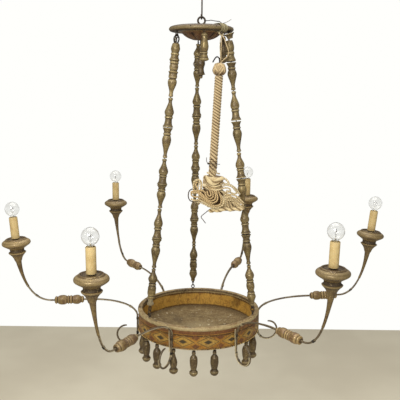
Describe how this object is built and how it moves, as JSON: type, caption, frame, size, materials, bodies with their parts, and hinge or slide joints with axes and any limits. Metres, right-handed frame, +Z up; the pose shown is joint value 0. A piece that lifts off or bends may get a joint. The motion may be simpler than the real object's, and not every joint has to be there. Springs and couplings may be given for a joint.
{
  "type": "chandelier",
  "caption": "Hanging chandelier of turned gilded wood: baluster chains, a round tray with drops and scrolled iron arms with candle lamps.",
  "frame": {"origin": "centre of the round eye at the top of the suspension hook", "axes": "+Z up, +X along one pair of arms, Y across them; the chains stand at 90, 210 and 330 degrees from +X"},
  "size_m": [1.248, 1.1088, 1.1735],
  "materials": {
    "gilt_wood": "worn gilding over turned wood, dusty brown",
    "painted_wood": "red-brown and ochre paint with worn gold ornament",
    "board_wood": "dusty raw board",
    "iron": "dark, lightly rusted wrought iron",
    "ivory_sleeve": "satin ivory candle sleeve",
    "clear_glass": "clear thin glass",
    "cotton_cord": "natural twisted cord"
  },
  "bodies": {
    "hook": {"suspension_hook": "iron"},
    "canopy": {"hanging_ring": "iron", "canopy": "gilt_wood"},
    "tray": {"tray_wall": "painted_wood", "tray_floor": "board_wood", "arm_rod_0": "iron", "arm_bead_0": "gilt_wood", "candle_cup_0": "gilt_wood", "candle_0": "ivory_sleeve", "arm_rod_60": "iron", "arm_bead_60": "gilt_wood", "candle_cup_60": "gilt_wood", "candle_60": "ivory_sleeve", "arm_rod_120": "iron", "arm_bead_120": "gilt_wood", "candle_cup_120": "gilt_wood", "candle_120": "ivory_sleeve", "arm_rod_180": "iron", "arm_bead_180": "gilt_wood", "candle_cup_180": "gilt_wood", "candle_180": "ivory_sleeve", "arm_rod_240": "iron", "arm_bead_240": "gilt_wood", "candle_cup_240": "gilt_wood", "candle_240": "ivory_sleeve", "arm_rod_300": "iron", "arm_bead_300": "gilt_wood", "candle_cup_300": "gilt_wood", "candle_300": "ivory_sleeve"},
    "string_90": {"chain_90": "gilt_wood"},
    "string_210": {"chain_210": "gilt_wood"},
    "string_330": {"chain_330": "gilt_wood"},
    "lamp_0": {"bulb_0": "clear_glass"},
    "lamp_60": {"bulb_60": "clear_glass"},
    "lamp_120": {"bulb_120": "clear_glass"},
    "lamp_180": {"bulb_180": "clear_glass"},
    "lamp_240": {"bulb_240": "clear_glass"},
    "lamp_300": {"bulb_300": "clear_glass"},
    "tray_pendant_0": {"tray_drop_0": "gilt_wood"},
    "tray_pendant_20": {"tray_drop_20": "gilt_wood"},
    "tray_pendant_40": {"tray_drop_40": "gilt_wood"},
    "tray_pendant_60": {"tray_drop_60": "gilt_wood"},
    "tray_pendant_80": {"tray_drop_80": "gilt_wood"},
    "tray_pendant_100": {"tray_drop_100": "gilt_wood"},
    "tray_pendant_120": {"tray_drop_120": "gilt_wood"},
    "tray_pendant_140": {"tray_drop_140": "gilt_wood"},
    "tray_pendant_160": {"tray_drop_160": "gilt_wood"},
    "tray_pendant_180": {"tray_drop_180": "gilt_wood"},
    "tray_pendant_200": {"tray_drop_200": "gilt_wood"},
    "tray_pendant_220": {"tray_drop_220": "gilt_wood"},
    "tray_pendant_240": {"tray_drop_240": "gilt_wood"},
    "tray_pendant_260": {"tray_drop_260": "gilt_wood"},
    "tray_pendant_280": {"tray_drop_280": "gilt_wood"},
    "tray_pendant_320": {"tray_drop_320": "gilt_wood"},
    "tray_pendant_340": {"tray_drop_340": "gilt_wood"},
    "canopy_pendant_30": {"canopy_drop_30": "gilt_wood"},
    "canopy_pendant_270": {"canopy_drop_270": "gilt_wood"},
    "tassel": {"tassel_knot": "cotton_cord", "tassel_rope": "cotton_cord", "tassel_skirt": "cotton_cord"}
  },
  "joints": [
    {"name": "canopy_swing", "type": "hinge", "parent": "hook", "child": "canopy", "pos_m": [0, 0, -0.078], "axis": [0, 1, 0], "range_deg": [-10, 10]},
    {"name": "tray_sway", "type": "hinge", "parent": "canopy", "child": "tray", "pos_m": [0, 0, 0.65466], "axis": [1, 0, 0], "range_deg": [-1.2, 1.2]},
    {"name": "string_90_sway", "type": "hinge", "parent": "canopy", "child": "string_90", "pos_m": [0, 0.091, -0.13125], "axis": [1, 0, 0], "range_deg": [-2.4, 2.4]},
    {"name": "string_210_sway", "type": "hinge", "parent": "canopy", "child": "string_210", "pos_m": [-0.07881, -0.0455, -0.13125], "axis": [1, 0, 0], "range_deg": [-2.4, 2.4]},
    {"name": "string_330_sway", "type": "hinge", "parent": "canopy", "child": "string_330", "pos_m": [0.07881, -0.0455, -0.13125], "axis": [1, 0, 0], "range_deg": [-2.4, 2.4]},
    {"name": "lamp_0_screw", "type": "hinge", "parent": "tray", "child": "lamp_0", "pos_m": [0.59072, 0.01156, -0.68846], "axis": [0.1045, 0.0031, 0.9945], "range_deg": [0, 720]},
    {"name": "lamp_60_screw", "type": "hinge", "parent": "tray", "child": "lamp_60", "pos_m": [0.25118, 0.51888, -0.64975], "axis": [0, 0, 1], "range_deg": [0, 720]},
    {"name": "lamp_120_screw", "type": "hinge", "parent": "tray", "child": "lamp_120", "pos_m": [-0.28064, 0.50445, -0.66175], "axis": [0, 0, 1], "range_deg": [0, 720]},
    {"name": "lamp_180_screw", "type": "hinge", "parent": "tray", "child": "lamp_180", "pos_m": [-0.58746, -0.00539, -0.69415], "axis": [-0.0785, -0.0011, 0.9969], "range_deg": [0, 720]},
    {"name": "lamp_240_screw", "type": "hinge", "parent": "tray", "child": "lamp_240", "pos_m": [-0.31762, -0.48419, -0.67277], "axis": [-0.01, -0.0143, 0.9998], "range_deg": [0, 720]},
    {"name": "lamp_300_screw", "type": "hinge", "parent": "tray", "child": "lamp_300", "pos_m": [0.28863, -0.50389, -0.6638], "axis": [0.013, -0.0227, 0.9997], "range_deg": [0, 720]},
    {"name": "tray_pendant_0_swing", "type": "hinge", "parent": "tray", "child": "tray_pendant_0", "pos_m": [0.185, 0, -1.07725], "axis": [0, 1, 0], "range_deg": [-10, 15]},
    {"name": "tray_pendant_20_swing", "type": "hinge", "parent": "tray", "child": "tray_pendant_20", "pos_m": [0.17384, 0.06327, -1.07725], "axis": [-0.342, 0.9397, 0], "range_deg": [-10, 15]},
    {"name": "tray_pendant_40_swing", "type": "hinge", "parent": "tray", "child": "tray_pendant_40", "pos_m": [0.14172, 0.11892, -1.07725], "axis": [-0.6428, 0.766, 0], "range_deg": [-10, 15]},
    {"name": "tray_pendant_60_swing", "type": "hinge", "parent": "tray", "child": "tray_pendant_60", "pos_m": [0.0925, 0.16021, -1.07725], "axis": [-0.866, 0.5, 0], "range_deg": [-10, 15]},
    {"name": "tray_pendant_80_swing", "type": "hinge", "parent": "tray", "child": "tray_pendant_80", "pos_m": [0.03213, 0.18219, -1.07725], "axis": [-0.9848, 0.1736, 0], "range_deg": [-10, 15]},
    {"name": "tray_pendant_100_swing", "type": "hinge", "parent": "tray", "child": "tray_pendant_100", "pos_m": [-0.03213, 0.18219, -1.07725], "axis": [-0.9848, -0.1736, 0], "range_deg": [-10, 15]},
    {"name": "tray_pendant_120_swing", "type": "hinge", "parent": "tray", "child": "tray_pendant_120", "pos_m": [-0.0925, 0.16021, -1.07725], "axis": [-0.866, -0.5, 0], "range_deg": [-10, 15]},
    {"name": "tray_pendant_140_swing", "type": "hinge", "parent": "tray", "child": "tray_pendant_140", "pos_m": [-0.14172, 0.11892, -1.07725], "axis": [-0.6428, -0.766, 0], "range_deg": [-10, 15]},
    {"name": "tray_pendant_160_swing", "type": "hinge", "parent": "tray", "child": "tray_pendant_160", "pos_m": [-0.17384, 0.06327, -1.07725], "axis": [-0.342, -0.9397, 0], "range_deg": [-10, 15]},
    {"name": "tray_pendant_180_swing", "type": "hinge", "parent": "tray", "child": "tray_pendant_180", "pos_m": [-0.185, 0, -1.07725], "axis": [0, -1, 0], "range_deg": [-10, 15]},
    {"name": "tray_pendant_200_swing", "type": "hinge", "parent": "tray", "child": "tray_pendant_200", "pos_m": [-0.17384, -0.06327, -1.07725], "axis": [0.342, -0.9397, 0], "range_deg": [-10, 15]},
    {"name": "tray_pendant_220_swing", "type": "hinge", "parent": "tray", "child": "tray_pendant_220", "pos_m": [-0.14172, -0.11892, -1.07725], "axis": [0.6428, -0.766, 0], "range_deg": [-10, 15]},
    {"name": "tray_pendant_240_swing", "type": "hinge", "parent": "tray", "child": "tray_pendant_240", "pos_m": [-0.0925, -0.16021, -1.07725], "axis": [0.866, -0.5, 0], "range_deg": [-10, 15]},
    {"name": "tray_pendant_260_swing", "type": "hinge", "parent": "tray", "child": "tray_pendant_260", "pos_m": [-0.03213, -0.18219, -1.07725], "axis": [0.9848, -0.1736, 0], "range_deg": [-10, 15]},
    {"name": "tray_pendant_280_swing", "type": "hinge", "parent": "tray", "child": "tray_pendant_280", "pos_m": [0.03213, -0.18219, -1.07725], "axis": [0.9848, 0.1736, 0], "range_deg": [-10, 15]},
    {"name": "tray_pendant_320_swing", "type": "hinge", "parent": "tray", "child": "tray_pendant_320", "pos_m": [0.14172, -0.11892, -1.07725], "axis": [0.6428, 0.766, 0], "range_deg": [-10, 15]},
    {"name": "tray_pendant_340_swing", "type": "hinge", "parent": "tray", "child": "tray_pendant_340", "pos_m": [0.17384, -0.06327, -1.07725], "axis": [0.342, 0.9397, 0], "range_deg": [-10, 15]},
    {"name": "canopy_pendant_30_swing", "type": "hinge", "parent": "canopy", "child": "canopy_pendant_30", "pos_m": [0.07621, 0.044, -0.12325], "axis": [-0.5, 0.866, 0], "range_deg": [-12, 12]},
    {"name": "canopy_pendant_270_swing", "type": "hinge", "parent": "canopy", "child": "canopy_pendant_270", "pos_m": [0, -0.088, -0.12325], "axis": [1, 0, 0], "range_deg": [-12, 12]},
    {"name": "tassel_swing", "type": "hinge", "parent": "canopy", "child": "tassel", "pos_m": [0.05277, -0.07536, -0.13125], "axis": [0.1045, 0.9945, 0], "range_deg": [0, 7]}
  ],
  "couplings": [
    {"joint": "string_90_sway", "follows": "tray_sway", "ratio": 1.9192},
    {"joint": "string_210_sway", "follows": "tray_sway", "ratio": 1.9192},
    {"joint": "string_330_sway", "follows": "tray_sway", "ratio": 1.9192}
  ]
}
